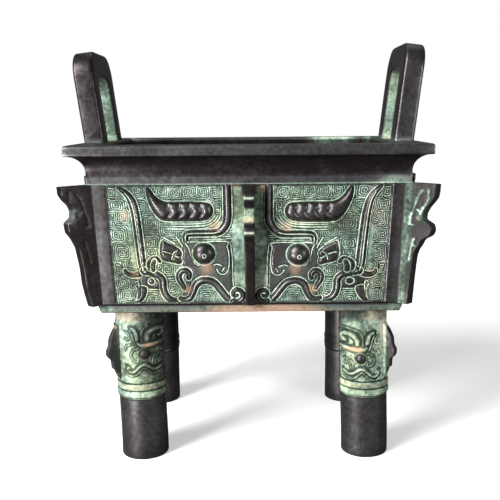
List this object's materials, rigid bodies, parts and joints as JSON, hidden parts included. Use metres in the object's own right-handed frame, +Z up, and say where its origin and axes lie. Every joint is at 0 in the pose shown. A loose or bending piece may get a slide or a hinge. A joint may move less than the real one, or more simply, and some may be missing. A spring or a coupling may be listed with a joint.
{
  "type": "square bronze ding",
  "caption": "Square cast bronze ding: hollow box body on round legs, wide rim, upright loop handles, hooked flanges and raised mask relief on every side.",
  "frame": {"origin": "on the floor plane under the middle of the vessel, at the centre of its bounding box", "axes": "+Z up, X along the long sides from handle to handle, Y across the short sides; the front of the picture faces -Y"},
  "size_m": [0.2188, 0.1728, 0.2541],
  "materials": {
    "patinated_bronze": "near-black brown bronze, softly worn on raised forms, with mint-green verdigris in the sunk ground"
  },
  "bodies": {
    "root": {"ding": "patinated_bronze"}
  },
  "joints": []
}
